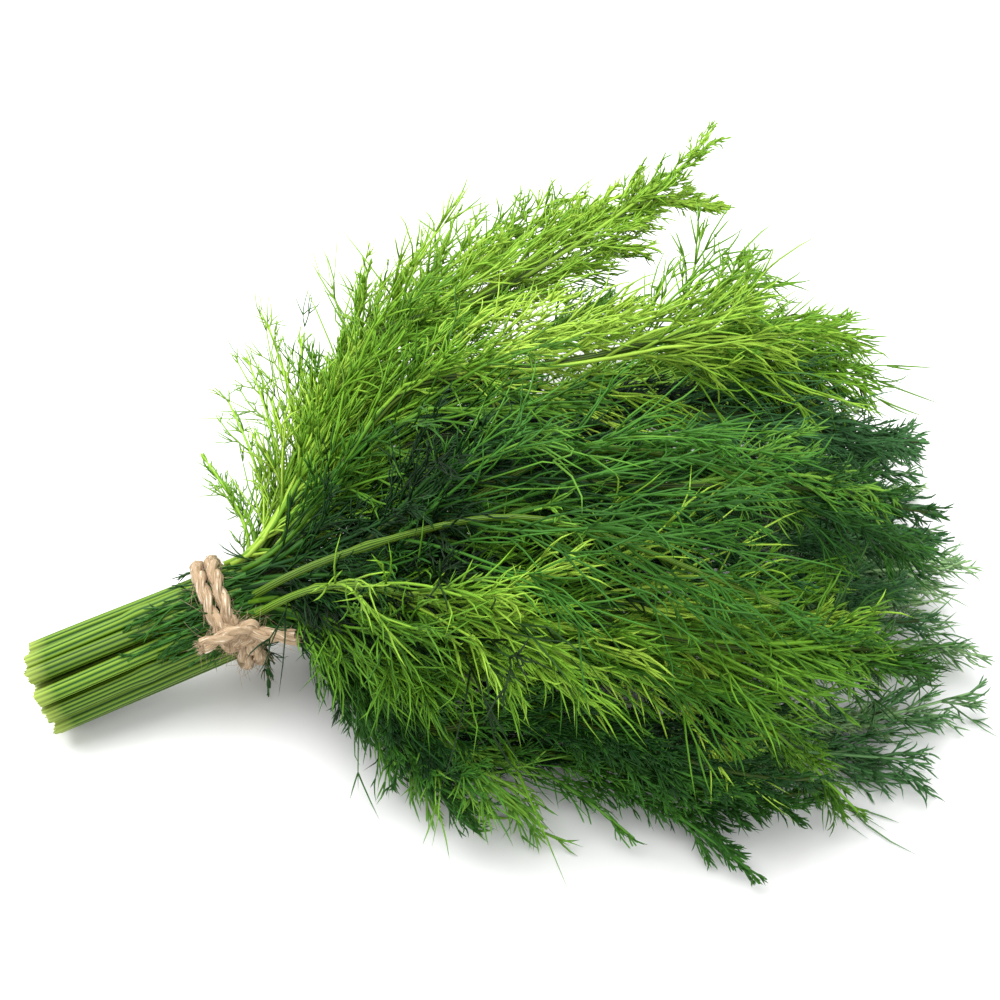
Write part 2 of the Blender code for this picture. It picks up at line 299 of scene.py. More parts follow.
# Leaves that stand out of the bunch: where they leave their sprig, where they end over the cut ends,
# their style and their shade
REACHING = {
    "sprig_core": (
        (0.200, (0.292, 0.028, 0.040), TIGHT, 0.62),
    ),
    "sprig_inner_01": (
        (0.160, (0.240, 0.070, 0.050), LOOSE, 0.95),
        (0.140, (0.222, 0.050, 0.062), LOOSE, 0.90),
        (0.190, (0.262, 0.036, 0.056), TIGHT, 0.60),
    ),
    "sprig_inner_05": (
        (0.190, (0.289, -0.023, 0.030), DENSE, 0.85),
    ),
    "sprig_inner_06": (
        (0.180, (0.282, 0.050, 0.034), DENSE, 0.85),
    ),
    "sprig_outer_01": (
        (0.066, (0.059, 0.068, 0.036), AIRY, 0.55),
        (0.070, (0.069, 0.084, 0.050), AIRY, 0.70),
    ),
    "sprig_outer_02": (
        (0.064, (0.057, 0.058, 0.052), AIRY, 0.70),
        (0.068, (0.078, 0.100, 0.055), AIRY, 0.75),
        (0.074, (0.097, 0.096, 0.064), AIRY, 0.75),
        (0.080, (0.116, 0.090, 0.070), AIRY, 0.75),
        (0.100, (0.172, 0.118, 0.080), LOOSE, 0.80),
        (0.120, (0.193, 0.122, 0.080), LOOSE, 0.75),
        (0.150, (0.243, 0.119, 0.100), TIGHT, 0.75),
    ),
    "sprig_outer_03": (
        (0.068, (0.087, 0.108, 0.062), AIRY, 0.80),
        (0.078, (0.128, 0.083, 0.085), LOOSE, 0.60),
        (0.090, (0.147, 0.104, 0.080), LOOSE, 0.75),
        (0.170, (0.246, 0.088, 0.070), LOOSE, 0.70),
        (0.185, (0.268, 0.060, 0.058), LOOSE, 0.75),
    ),
    "sprig_outer_04": (
        (0.100, (0.190, -0.030, 0.082), LOOSE, 0.80),
    ),
    "sprig_outer_05": (
        (0.150, (0.234, -0.096, 0.006), TIGHT, 0.45),
        (0.140, (0.199, -0.082, 0.030), LOOSE, 0.85),
        (0.110, (0.205, -0.058, 0.066), LOOSE, 0.88),
        (0.150, (0.238, -0.060, 0.056), LOOSE, 0.85),
        (0.086, (0.147, -0.060, 0.058), LOOSE, 0.70),
    ),
    "sprig_outer_06": (
        (0.100, (0.139, -0.078, 0.006), LOOSE, 0.80),
        (0.085, (0.110, -0.066, 0.006), LOOSE, 0.75),
        (0.076, (0.094, -0.041, 0.010), DENSE, 0.35),
    ),
    "sprig_outer_07": (
        (0.120, (0.166, -0.088, 0.006), AIRY, 0.62),
        (0.140, (0.197, -0.108, 0.006), TIGHT, 0.45),
        (0.060, (0.067, -0.006, 0.001), AIRY, 0.30),
    ),
    "sprig_outer_08": (
        (0.190, (0.284, -0.054, 0.008), DENSE, 0.72),
        (0.160, (0.258, -0.078, 0.008), DENSE, 0.62),
    ),
    "sprig_outer_09": (
        (0.180, (0.286, -0.042, 0.012), DENSE, 0.80),
    ),
    "sprig_outer_10": (
        (0.200, (0.290, 0.004, 0.014), DENSE, 0.78),
        (0.190, (0.282, 0.044, 0.016), DENSE, 0.80),
    ),
}


def ease(t):
    """0 below 0, 1 above 1, and a smooth step between."""
    t = np.clip(t, 0.0, 1.0)
    return t * t * (3.0 - 2.0 * t)


def mix(a, b, share):
    return a + (b - a) * share


def unit(vectors):
    """The same vectors, each 1 long."""
    return vectors / np.maximum(np.linalg.norm(vectors, axis=-1, keepdims=True), 1e-12)


def smooth(path, passes=14):
    """The path after each inner point has moved, many times over, halfway to the middle of its neighbours."""
    path = path.copy()
    for _ in range(passes):
        path[1:-1] = 0.5 * path[1:-1] + 0.25 * (path[:-2] + path[2:])
    return path


def linear(code):
    """A linear colour from its sRGB hex code: (c / 12.92) low down, ((c + 0.055) / 1.055) ^ 2.4 above."""
    shares = [int(code[i : i + 2], 16) / 255.0 for i in (1, 3, 5)]
    return tuple(c / 12.92 if c <= 0.04045 else ((c + 0.055) / 1.055) ** 2.4 for c in shares)


def bundle_radius(x):
    """Half the thickness of the bare stems, which stand a little apart at their cut ends."""
    return BUNDLE_RADIUS * mix(CUT_END_SPREAD, 1.0, ease(x / TIE_X))


def half_width(x):
    """The plumes flare steeply from the tie, spread on slowly, and draw in a little towards their tips."""
    flare = FLARE_WIDTH * ease((x - LEAVES_X) / FLARE_LENGTH)
    spread = SPREAD_WIDTH * ease((x - SPREAD_START) / SPREAD_LENGTH)
    narrowing = NARROWING * ease((x - DROP_START) / (BUNCH_LENGTH - DROP_START))
    return bundle_radius(x) + flare + spread - narrowing


def half_height(x):
    """The plumes rise from the tie, and hang lower towards their tips."""
    lift = LIFT_HEIGHT * ease((x - LEAVES_X) / LIFT_LENGTH)
    drop = TIP_DROP * ease((x - DROP_START) / (BUNCH_LENGTH - DROP_START))
    return bundle_radius(x) + lift - drop


def place(x, u, v):
    """Where the point (u, v) of the unit disc lies in the section at x."""
    past_tie = np.maximum(x - TIE_X, 0.0)
    slope_change = math.tan(FORWARD_TURN) - math.tan(STEM_YAW)
    y_middle = math.tan(STEM_YAW) * x + slope_change * past_tie * ease(past_tie / TURN_LENGTH)
    stem_z = bundle_radius(0.0) + math.tan(STEM_RISE) * x
    opened = ease((x - LEAVES_X) / SETTLE_LENGTH)
    z_middle = mix(stem_z, SETTLED_HEIGHT * half_height(x), opened)
    across = half_width(x) * u + FAR_REACH * opened * np.maximum(u, 0.0)
    sag = np.where(u > 0.0, mix(NEAR_SAG, FAR_SAG, ease(0.5 + 0.5 * v)), NEAR_SAG)
    up = half_height(x) * (v - sag * opened * u * u)
    lean = math.tan(STEM_YAW) * across + math.tan(STEM_RISE) * up
    placed = np.stack([x - (1.0 - opened) * lean, y_middle + across, z_middle + up], axis=-1)
    return placed + CUT_MIDDLE


def keep_inside(points):
    """Bends what reaches past the box or the surface back to it.

    Past the last stretch before a wall, a distance d turns into width * tanh(d / width). Above the surface,
    a height h turns into softness * log(1 + e ^ (h / softness)), which is h itself higher up.
    """
    low = np.array(CAD_BOX[0]) - PROUD
    high = np.array(CAD_BOX[1]) + PROUD
    past_high = np.maximum(points - (high - EDGE_WIDTH), 0.0)
    points = points - past_high + EDGE_WIDTH * np.tanh(past_high / EDGE_WIDTH)
    past_low = np.maximum(low + EDGE_WIDTH - points, 0.0)
    past_low[..., 2] = 0.0
    points = points + past_low - EDGE_WIDTH * np.tanh(past_low / EDGE_WIDTH)
    rise = (points[..., 2] - FLOOR_GAP) / FLOOR_SOFTNESS
    points[..., 2] = FLOOR_GAP + FLOOR_SOFTNESS * np.logaddexp(0.0, rise)
    return points


class Skin:
    """The points, faces and map places of one mesh, gathered shape by shape."""

    def __init__(self):
        self.points = []
        self.corners = []
        self.sizes = []
        self.places = []
        self.finishes = []
        self.count = 0

    def add(self, points, corners, sizes, places, finish):
        """Adds a shape: its points, its faces' corners one after another, and how many each face has."""
        self.points.append(points.reshape(-1, 3))
        self.corners.append(corners.ravel() + self.count)
        self.sizes.append(sizes.ravel())
        self.places.append(places.reshape(-1, 2))
        self.finishes.append(np.full(sizes.size, finish))
        self.count += len(self.points[-1])

    def piece(self, name, materials):
        """A smooth-shaded object of all that was added."""
        points = np.concatenate(self.points).astype(np.float32)
        corners = np.concatenate(self.corners).astype(np.int32)
        sizes = np.concatenate(self.sizes)
        starts = np.concatenate([[0], np.cumsum(sizes)[:-1]]).astype(np.int32)
        mesh = bpy.data.meshes.new(name)
        mesh.vertices.add(len(points))
        mesh.vertices.foreach_set("co", points.ravel())
        mesh.loops.add(len(corners))
        mesh.loops.foreach_set("vertex_index", corners)
        mesh.polygons.add(len(sizes))
        mesh.polygons.foreach_set("loop_start", starts)
        mesh.polygons.foreach_set("material_index", np.concatenate(self.finishes).astype(np.int32))
        mesh.update(calc_edges=True)
        uv_map = mesh.uv_layers.new(name=BAKE_MAP)
        uv_map.data.foreach_set("uv", np.concatenate(self.places).astype(np.float32).ravel())
        for material in materials:
            mesh.materials.append(material)
        mesh.shade_smooth()
        piece = bpy.data.objects.new(name, mesh)
        bpy.context.scene.collection.objects.link(piece)
        return piece


def square_to(heading, upward):
    """Two directions square to these headings and to each other, the first of them level across `upward`."""
    first = unit(np.cross(heading, upward))
    return first, np.cross(heading, first)


def spokes(first, second, sides):
    """For each point, cos a first + sin a second at evenly spaced angles a."""
    angle = np.arange(sides) * 2.0 * math.pi / sides
    return first[..., None, :] * np.cos(angle)[:, None] + second[..., None, :] * np.sin(angle)[:, None]


def ring_quads(rings, sides):
    """The corners of the faces between rings of points, and each corner's column and level."""
    side = np.arange(sides)
    after = (side + 1) % sides
    ring = np.arange(rings - 1)[:, None] * sides
    quads = np.stack([ring + side, ring + after, ring + sides + after, ring + sides + side], axis=-1)
    column = np.broadcast_to(np.stack([side, side + 1, side + 1, side], axis=-1), quads.shape)
    level = np.arange(rings - 1)[:, None] + 0 * side
    return quads, column, np.stack([level, level, level + 1, level + 1], axis=-1)


def add_threads(skin, paths, radii, shades, sides=3, rows=LEAF_ROWS, bluntness=0.0):
    """Many closed threads at once, each a ring of a few sides carried along its path to a point.

    A ring's points stand at path + radius (cos a first + sin a second), square to the path. The last ring is
    moved on towards the point by the share `bluntness`. On the map, a thread is a narrow upright strip: its
    shade says how far across, and the share of its length says how far up.
    """
    count, stations = paths.shape[:2]
    heading = unit(np.gradient(paths, axis=1))
    upright = np.abs(heading[:, :1, 2:]) > 0.8
    upward = np.where(upright, np.array([1.0, 0.0, 0.0]), np.array([0.0, 0.0, 1.0]))
    first, second = square_to(heading, upward)
    middles = paths[:, :-1].copy()
    middles[:, -1] = mix(middles[:, -1], paths[:, -1], bluntness)
    spoke = spokes(first[:, :-1], second[:, :-1], sides)
    rings = middles[:, :, None] + radii[:, :-1, None, None] * spoke
    points = np.concatenate([rings.reshape(count, -1, 3), paths[:, -1:]], axis=1)

    quads, quad_u, quad_v = ring_quads(stations - 1, sides)
    side = np.arange(sides)
    last = (stations - 2) * sides
    tip = np.full(sides, last + sides)
    fan = np.stack([last + side, last + (side + 1) % sides, tip], axis=-1)
    corner = np.concatenate([quads.ravel(), fan.ravel(), side[::-1]])
    size = np.concatenate([np.full((stations - 2) * sides, 4), np.full(sides, 3), [sides]])
    tip_u = np.stack([side, side + 1, side + 0.5], axis=-1)
    tip_v = np.broadcast_to([stations - 2.0, stations - 2.0, stations - 1.0], tip_u.shape)
    cap_turn = 2.0 * math.pi * side / sides
    local_u = np.concatenate([quad_u.ravel(), tip_u.ravel(), sides * (0.5 - 0.5 * np.cos(cap_turn))])
    local_v = np.concatenate([quad_v.ravel(), tip_v.ravel(), 0.15 + 0.15 * np.sin(cap_turn)])
    u = np.clip(shades, 0.0, 1.0)[:, None] * 0.95 + 0.02 + 0.004 * local_u
    v = np.broadcast_to(mix(*rows, local_v / (stations - 1)), u.shape)
    corners = corner + points.shape[1] * np.arange(count)[:, None]
    skin.add(points, corners, np.tile(size, count), np.stack([u, v], axis=-1), LEAF_FINISH)


def add_tube(
    skin, path, radii, finish, columns, rows, cap_finish, cap_rows,
    upward=(0.0, 0.0, 1.0), cut=0.0, marks=None,
):
    """A closed tube: a grid of rings square to a path, with a radius for each point, and a fan on each end.

    A ring's point at the angle a stands at path + radius (cos a first + sin a second), where first is square
    to the path and to the upward direction. The first ring's points are moved along the path by `cut`. On the
    map, `marks` are the places of a ring's points, evenly spaced where they aren't given.
    """
    stations, sides = radii.shape
    if marks is None:
        marks = np.linspace(0.0, 1.0, sides + 1)
    heading = unit(np.gradient(path, axis=0))
    first, second = square_to(heading, np.asarray(upward))
    rings = path[:, None] + radii[:, :, None] * spokes(first, second, sides)
    rings[0] += np.reshape(cut, (-1, 1)) * heading[0]
    quads, column, level = ring_quads(stations, sides)
    places = np.stack([mix(*columns, marks[column]), mix(*rows, level / (stations - 1))], axis=-1)
    skin.add(rings, quads, np.full(quads.shape[0] * sides, 4), places, finish)
    for end, turned in ((0, True), (-1, False)):
        add_cap(skin, rings[end], path[end], cap_finish, columns, cap_rows, turned)


def add_cap(skin, ring, middle, finish, columns, rows, turned):
    """A fan that closes a tube's end. On the map its rim runs along one row and its middle along another."""
    sides = len(ring)
    side = np.arange(sides)
    after = (side + 1) % sides
    centre = np.full(sides, sides)
    u = mix(*columns, np.stack([side, side + 1, side + 0.5], axis=-1) / sides)
    v = np.broadcast_to([rows[0], rows[0], rows[1]], u.shape)
    fan = np.stack([side, after, centre], axis=-1)
    places = np.stack([u, v], axis=-1)
    if turned:
        fan = fan[:, ::-1]
        places = places[:, ::-1]
    skin.add(np.concatenate([ring, middle[None]]), fan, np.full(sides, 3), places, finish)


# --- leaves -------------------------------------------------------------------------------------------------


class Growth:
    """Many stalks of one order: their paths, the normals of the planes they branch in, and their shades."""

    def __init__(self, paths, normals, shades):
        self.paths = paths
        self.normals = normals
        self.shades = shades
        steps = np.linalg.norm(np.diff(paths, axis=1), axis=-1)
        self.lengths = steps.sum(axis=1)

    def only(self, kept):
        return Growth(self.paths[kept], self.normals[kept], self.shades[kept])


def along(paths, shares):
    """Points and headings at these shares of each path, straight between its own points."""
    steps = paths.shape[1] - 1
    at = np.clip(shares * steps, 0.0, steps - 1e-6)
    before = at.astype(int)
    row = np.arange(len(paths))[:, None]
    start = paths[row, before]
    end = paths[row, before + 1]
    return mix(start, end, (at - before)[..., None]), unit(end - start)


def branch_off(rng, parent, shares, angles, lengths, stations, style, scatter):
    """Side branches in opposite pairs at these shares of each parent's length.

    A branch heads cos a (parent) + sin a (left or right), where left and right are turned by a random twist
    out of the parent's plane. It then bends back towards the parent's heading, a little at random, and down.
    At the share s of its length l it has reached start + l (s heading + s^2 / 2 bend).
    """
    count = len(parent.paths)
    shares = shares + rng.uniform(-0.3, 0.3, (count, len(shares))) / (len(shares) + 1)
    start, heading = along(parent.paths, shares)
    normal = parent.normals[:, None] - (parent.normals[:, None] * heading).sum(-1, keepdims=True) * heading
    normal = unit(normal)
    left = np.cross(normal, heading)
    shape = (count, shares.shape[1], 2)
    turn = rng.normal(0.0, math.radians(style.twist), shape)[..., None]
    hand = np.array([1.0, -1.0])[None, None, :, None]
    out = hand * left[:, :, None] * np.cos(turn) + normal[:, :, None] * np.sin(turn)
    angle = (angles[None, :, None] * rng.uniform(0.72, 1.25, shape))[..., None]
    grown = np.cos(angle) * heading[:, :, None] + np.sin(angle) * out
    length = parent.lengths[:, None, None] * lengths[None, :, None] * rng.uniform(0.7, 1.2, shape)
    bend = STRAIGHTENING * (heading[:, :, None] - grown) + rng.normal(0.0, scatter, (*shape, 3))
    bend[..., 2] -= style.droop
    s = np.linspace(0.0, 1.0, stations)[:, None]
    steps = s * grown[..., None, :] + 0.5 * s * s * bend[..., None, :]
    paths = start[:, :, None, None] + length[..., None, None] * steps
    child_normal = normal[:, :, None] * np.cos(turn) - hand * left[:, :, None] * np.sin(turn)
    shades = parent.shades[:, None, None] + rng.normal(0.0, 0.035, shape)
    paths = paths.reshape(-1, stations, 3)
    return Growth(paths, child_normal.reshape(-1, 3), shades.ravel())


def grow_leaves(skin, rng, fronds, style):
    """Divides each frond three times over, into side leaves, their leaflets, and threads.

    The branches of an order grow shorter from the base of what they branch from to its tip, as a power of the
    share (1 - t) that is left of it, and lean further forward.
    """
    add_stalks(skin, fronds, (STALK_RADIUS, 1.1 * style.radius), 0.12, 5, 0.85)
    levels = [fronds]
    for order, pairs, share in zip(ORDERS, style.pairs, style.shares):
        t = np.linspace(order.first, order.last, pairs)
        lengths = share * (1 - t) ** order.power + order.least
        angles = math.radians(style.spread) * mix(*order.spread, t)
        grown = branch_off(rng, levels[-1], t, angles, lengths, order.stations, style, order.scatter)
        if len(levels) > 1:
            grown = grown.only(grown.lengths > style.shortest)
        levels.append(grown)
    for order, grown in zip(ORDERS, levels[1:]):
        radii = (order.radii[0] * style.radius, order.radii[1] * style.radius)
        add_stalks(skin, grown, radii, order.shift, 3, order.bluntness)


def add_stalks(skin, growth, radii, shift, sides, bluntness):
    """Threads along a growth's paths, which thin evenly from the first radius to the second."""
    stations = growth.paths.shape[1]
    thickness = np.broadcast_to(np.linspace(*radii, stations), growth.paths.shape[:2])
    shades = growth.shades + shift
    add_threads(skin, keep_inside(growth.paths), thickness, shades, sides=sides, bluntness=bluntness)


class Sprig(NamedTuple):
    """One sprig's run through the map: its place in the bundle, its two ends, and how far it curls out."""

    name: str
    angle: float
    reach: float
    cut_x: float
    tip_x: float
    curl: float

    def disc(self, x):
        """The place (u, v) of the stalk in the section at x."""
        reach = self.reach + self.curl * ease((x - CURL_START) / (BUNCH_LENGTH - CURL_START))
        return reach * math.cos(self.angle), reach * math.sin(self.angle)


def all_sprigs():
    """The core sprig, the inner ring and the outer ring, with the same uneven cut ends as their solids."""
    rng = np.random.default_rng(7)
    names = ("sprig_core", "sprig_inner", "sprig_outer")
    tips = ((BUNCH_LENGTH,), INNER_TIPS, OUTER_TIPS)
    curls = ((0.0,), (0.0,) * len(INNER_TIPS), OUTER_CURLS)
    sprigs = []
    for ring, (count, pitches, first_angle) in enumerate(RINGS):
        for i in range(count):
            angle = math.radians(first_angle) + 2.0 * math.pi * i / count
            cut_x = rng.uniform(-CUT_SCATTER, CUT_SCATTER)
            name = names[ring] if count == 1 else f"{names[ring]}_{i + 1:02d}"
            reach = pitches * STEM_PITCH / BUNDLE_RADIUS
            tip_x = tips[ring][i] - SHORTER.get(name, 0.0)
            sprigs.append(Sprig(name, angle, reach, cut_x, tip_x, curls[ring][i]))
    return sprigs


def frond_paths(rng, sprig, starts, runs, drifts, turns):
    """Leaf stalks that leave a sprig and drift outward from it through the map as they run on.

    At the share t of its run a leaf has drifted e (1 - (1 - t)^1.6) from the stalk, in each section's disc.
    """
    count = len(starts)
    t = np.linspace(0.0, 1.0, 9)
    x = starts[:, None] + runs[:, None] * t
    u, v = sprig.disc(x)
    drift = CELL_RADIUS * drifts[:, None] * (1.0 - (1.0 - t) ** 1.6)
    wave = 0.05 * CELL_RADIUS * np.sin(2.0 * math.pi * t + rng.uniform(0.0, 6.0, count)[:, None]) * t
    u = u + drift * np.cos(turns)[:, None] + wave
    v = v + drift * np.sin(turns)[:, None] - wave
    return place(x, u, v)


def plume_fronds(rng, sprig, count):
    """Leaves at uneven steps all along a sprig, closest by the tie, each turned past the one before."""
    share = np.linspace(0.0, 1.0, count) ** CROWDING
    near = sprig.name in NEAR_SPRIGS
    first_x = FIRST_LEAF_X if math.sin(sprig.angle) > 0.2 else LOW_FIRST_LEAF_X
    if near:
        first_x = first_x + NEAR_DELAY
    starts = mix(first_x, sprig.tip_x - LAST_LEAF, share) + rng.uniform(-0.004, 0.005, count)
    longest = rng.uniform(*LEAF_RUNS, count) * (NEAR_RUN if near else 1.0)
    runs = np.minimum(longest, sprig.tip_x - 0.002 - starts)
    turns = np.arange(count) * GOLDEN_TURN + rng.uniform(-0.5, 0.5, count) + sprig.angle
    outward = ease(0.5 + 0.5 * np.cos(turns - sprig.angle))
    kept = mix(1.0, NEAR_OUTWARD_SHARE if near else OUTWARD_SHARE, outward)
    drifts = rng.uniform(0.3, 1.1, count) * kept
    return frond_paths(rng, sprig, starts, runs, drifts, turns)


def collar_fronds(rng, sprig, count):
    """Short leaves that run over the outside of the stalks where they leave the tie, and cover them."""
    starts = rng.uniform(0.060, 0.074, count)
    runs = rng.uniform(0.040, 0.060, count)
    t = np.linspace(0.0, 1.0, 9)
    turned = rng.uniform(-0.30, 0.30, count)[:, None]
    turning = rng.uniform(-0.35, 0.35, count)[:, None]
    angle = sprig.angle + (turned + turning * t)
    reach = mix(1.07, rng.uniform(0.86, 1.0, count)[:, None], t)
    return place(starts[:, None] + runs[:, None] * t, reach * np.cos(angle), reach * np.sin(angle))


def reaching_frond(sprig, start_x, tip):
    """A leaf stalk from a sprig to a place of its own, as a cubic.

    It leaves along its sprig and arrives mostly along the straight line between its ends.
    """
    x = np.array([start_x, start_x + 0.004])
    start, after = place(x, *sprig.disc(x))
    tip = start + TIP_SHARE * (np.array(tip) + CUT_MIDDLE - start)
    reach = np.linalg.norm(tip - start)
    leaving = unit(after - start) * reach
    arriving = (tip - start) * 1.1 - 0.35 * leaving
    t = np.linspace(0.0, 1.0, 12)[:, None]
    return (
        start * (2 * t**3 - 3 * t**2 + 1)
        + leaving * (t**3 - 2 * t**2 + t)
        + tip * (3 * t**2 - 2 * t**3)
        + arriving * (t**3 - t**2)
    )


def grow_top_stalk(skin, rng, places, shade):
    """A stalk through these places, thicker at its nodes, whose leaves branch off past its bare stretch."""
    places = np.array(places)
    step = np.linspace(0.0, len(places) - 1.0, 28)
    path = np.stack([np.interp(step, np.arange(len(places)), column) for column in places.T], axis=-1)
    path = smooth(path, 16) + CUT_MIDDLE
    share = np.linspace(0.0, 1.0, len(path))
    nodes = np.exp(-(((share * 3.0 - 0.5) % 1.0 - 0.5) ** 2) / 0.0018)
    radii = (mix(0.00125, 0.00070, share) * (1.0 + 0.45 * nodes))[:, None] * np.ones(10)
    add_tube(skin, path, radii, STEM_FINISH, (0.0, 1.0), STEM_BARE_ROWS, CUT_FINISH, CUT_ROWS)
    leafy = path[None, BARE_POINTS:]
    grow_leaves(skin, rng, Growth(leafy, frond_normals(rng, leafy), np.array([shade])), LOOSE)


def pressed_frond(start_x, end_x, start_angle, end_angle, distance):
    """A leaf stalk that lies along the stems, at one distance from the bundle's middle."""
    t = np.linspace(0.0, 1.0, 9)
    angle = mix(start_angle, end_angle, t)
    return around_bundle(mix(start_x, end_x, t), distance, angle)


def around_bundle(x, distance, angle):
    """The point at this distance from the bundle's middle, at this angle round it from +Y over the top."""
    radius = bundle_radius(x)
    return place(x, distance * np.cos(angle) / radius, distance * np.sin(angle) / radius)


def frond_shades(rng, paths, middle, scatter, tip_shift):
    """A shade for each leaf, by where it ends: painted light on the far side, painted shade on the near side,
    and shifted by the bunch's tips.
    """
    x, y, _ = (paths[:, -1] - CUT_MIDDLE).T
    far_side = ease((y + 0.005) / 0.065)
    forward = ease((x - 0.200) / 0.060)
    shades = rng.normal(middle, scatter, len(paths)) + tip_shift * forward
    # painted light on the far side, painted shade on the near side
    shades = shades + mix(-PAINTED_NEAR_SHADE, PAINTED_FAR_LIGHT, far_side)
    return np.clip(shades, 0.0, 1.0)


def frond_normals(rng, paths):
    """A normal for each leaf's plane: mostly up, turned about its heading at random."""
    heading = unit(paths[:, -1] - paths[:, 0])
    up = unit(np.array([0.0, -0.35, 1.0]) + rng.normal(0.0, 0.45, (len(paths), 3)))
    return unit(up - (up * heading).sum(-1, keepdims=True) * heading)


def grow_stem(skin, rng, sprig, stems):
    """A ribbed stem from its ragged cut end to its tip, thicker past the node that some stems have.

    Its radius is r (1 - depth (1 - |cos p|)), with p = n a / 2 + 0.8 sin(a + q) for n ribs: they are wider on
    one side than on the other. The ribs grow shallower past the tie. At a node it swells by the bell curve
    e ^ -(distance / width)^2.
    """
    bare = np.linspace(sprig.cut_x, LEAFY_X, 34)
    leafy = np.linspace(LEAFY_X, sprig.tip_x - 0.004, 44)[1:]
    x = np.concatenate([bare, leafy])
    u, v = sprig.disc(x)
    sway = SWAY * ease((TIE_X - x) / TIE_X)
    path = place(x, u + sway * rng.uniform(-1.0, 1.0), v + sway * rng.uniform(-0.6, 1.0))
    girth = rng.uniform(0.94, 1.12)
    thickness = girth * mix(STEM_RADIUS, stems.stalk_radius, ease((x - STALK_START) / STALK_LENGTH))
    to_tip = ease((x - THINNING_START) / (sprig.tip_x - THINNING_START))
    thickness = thickness * mix(1.0, THINNEST, to_tip)
    if sprig.name in STEM_NODES:
        past = (x - STEM_NODES[sprig.name]) / NODE_WIDTH
        stouter = 0.10 * ease(past) * ease((TIE_X - x) / 0.01)
        thickness = thickness * (1.0 + 0.22 * np.exp(-past * past) + stouter)
    sides = stems.ribs * 4
    angle = np.arange(sides + 1) * 2.0 * math.pi / sides
    lean = rng.uniform(0.0, 2.0 * math.pi)
    phase = angle * stems.ribs / 2.0 + 0.8 * (np.sin(angle + lean) - math.sin(lean))
    rib = np.abs(np.cos(phase[:-1]))[None, :]
    depth = stems.rib_depth / STEM_RADIUS * mix(1.0, 0.3, ease((x - 0.06) / 0.03))[:, None]
    radii = thickness[:, None] * (1.0 - depth + depth * rib)
    path[:, 2] = np.maximum(path[:, 2], thickness + LOWEST_GAP)
    cut = rng.normal(0.0, 0.00035, sides) + 0.0007 * np.cos(angle[:-1] + lean)
    marks = phase / (math.pi * stems.ribs)
    columns = (0.0, 1.0)
    add_tube(skin, path, radii, STEM_FINISH, columns, STEM_ROWS, CUT_FINISH, CUT_ROWS, cut=cut, marks=marks)


# --- twine --------------------------------------------------------------------------------------------------


def turns_path():
    """Two turns round the stems, whose ends draw together and climb into the knot."""
    turn = np.linspace(0.0, TURNS, 421)
    gathered = ease(1.0 - np.minimum(turn, TURNS - turn) / GATHER_TURN)
    x = TIE_X + (turn - TURNS / 2) * TURN_STEP * (1.0 - GATHER * gathered)
    distance = BUNDLE_RADIUS + TWINE_CLEARANCE + TWINE_RADIUS + GATHER_RISE * gathered
    return around_bundle(x, distance, KNOT_ANGLE - 2.0 * math.pi * turn)


def knot_path():
    """The knot and its two ends, as one strand.

    The knot is an open trefoil: across t^3 - 3 t, round t^4 - 4 t^2 + 2, and out sin(1.25 pi t), for t from
    -1.9 to 1.9. Each end leaves it as it points there, turns to its own heading, and droops more and more.
    """
    distance = BUNDLE_RADIUS + TWINE_CLEARANCE + TWINE_RADIUS
    middle = around_bundle(TIE_X + 0.0015, distance + KNOT_LIFT, KNOT_ANGLE - 0.10)
    out = unit(around_bundle(TIE_X, distance, KNOT_ANGLE) - place(TIE_X, 0.0, 0.0))
    ahead = unit(np.cross(out, np.cross(np.array([1.0, 0.14, 0.22]), out)))
    down = np.cross(out, ahead)
    t = np.linspace(-1.9, 1.9, 120)
    across = KNOT_WIDTH * (t**3 - 3.0 * t)
    round_bundle = KNOT_DEPTH * (t**4 - 4.0 * t**2 + 2.0)
    outward = KNOT_RISE * np.sin(1.25 * math.pi * t)
    knot = middle + across[:, None] * ahead + round_bundle[:, None] * down + outward[:, None] * out
    s = np.linspace(0.0, 1.0, 60)[1:, None]
    ends = []
    for last, before, (heading, droop, length) in zip((0, -1), (1, -2), ENDS):
        leaving = unit(knot[last] - knot[before])
        steered = mix(leaving, unit(np.array(heading)), ease(s * 2.2))
        steps = np.cumsum(steered + s * np.array(droop), axis=0) / len(s)
        ends.append(knot[last] + length * steps)
    return smooth(np.concatenate([ends[0][::-1], knot, ends[1]]))


def add_plies(skin, path, upward, twine, columns):
    """Two plies twisted round each other along a path, each a tube with shallow fibre ridges.

    A ply's middle is offset from the path by r (cos q, sin q), with q = 2 pi (length / lay), and the other
    ply's by the opposite. Its radius is r (1 + 0.08 sin(5 a + 2 q) + 0.07 sin(9 a - q)), which itself swells
    and shrinks a little along the twine.
    """
    heading = unit(np.gradient(path, axis=0))
    first, second = square_to(heading, np.asarray(upward))
    length = np.concatenate([[0.0], np.cumsum(np.linalg.norm(np.diff(path, axis=0), axis=1))])
    angle = np.arange(PLY_SIDES) * 2.0 * math.pi / PLY_SIDES
    for ply in range(2):
        q = 2.0 * math.pi * length / twine.lay + math.pi * ply
        wander = 1.0 + 0.12 * np.sin(length / 0.0041 + 2.0 * ply)
        offset = twine.ply_offset * (np.cos(q)[:, None] * first + np.sin(q)[:, None] * second)
        broad = 0.08 * np.sin(5.0 * angle + 2.0 * q[:, None])
        ridges = 1.0 + broad + 0.07 * np.sin(9.0 * angle - q[:, None] + ply)
        radii = twine.ply_radius * wander[:, None] * ridges
        rows = mix(*columns, np.array([0.5 * ply, 0.5 * ply + 0.48]))
        add_tube(skin, path + offset, radii, 0, (0.0, 1.0), rows, 0, JUTE_CUT_ROWS, upward)


def outward(rng, heading, count):
    """Random directions square to these headings."""
    spread = rng.normal(0.0, 1.0, (count, 3))
    return unit(spread - (spread * heading).sum(-1, keepdims=True) * heading)


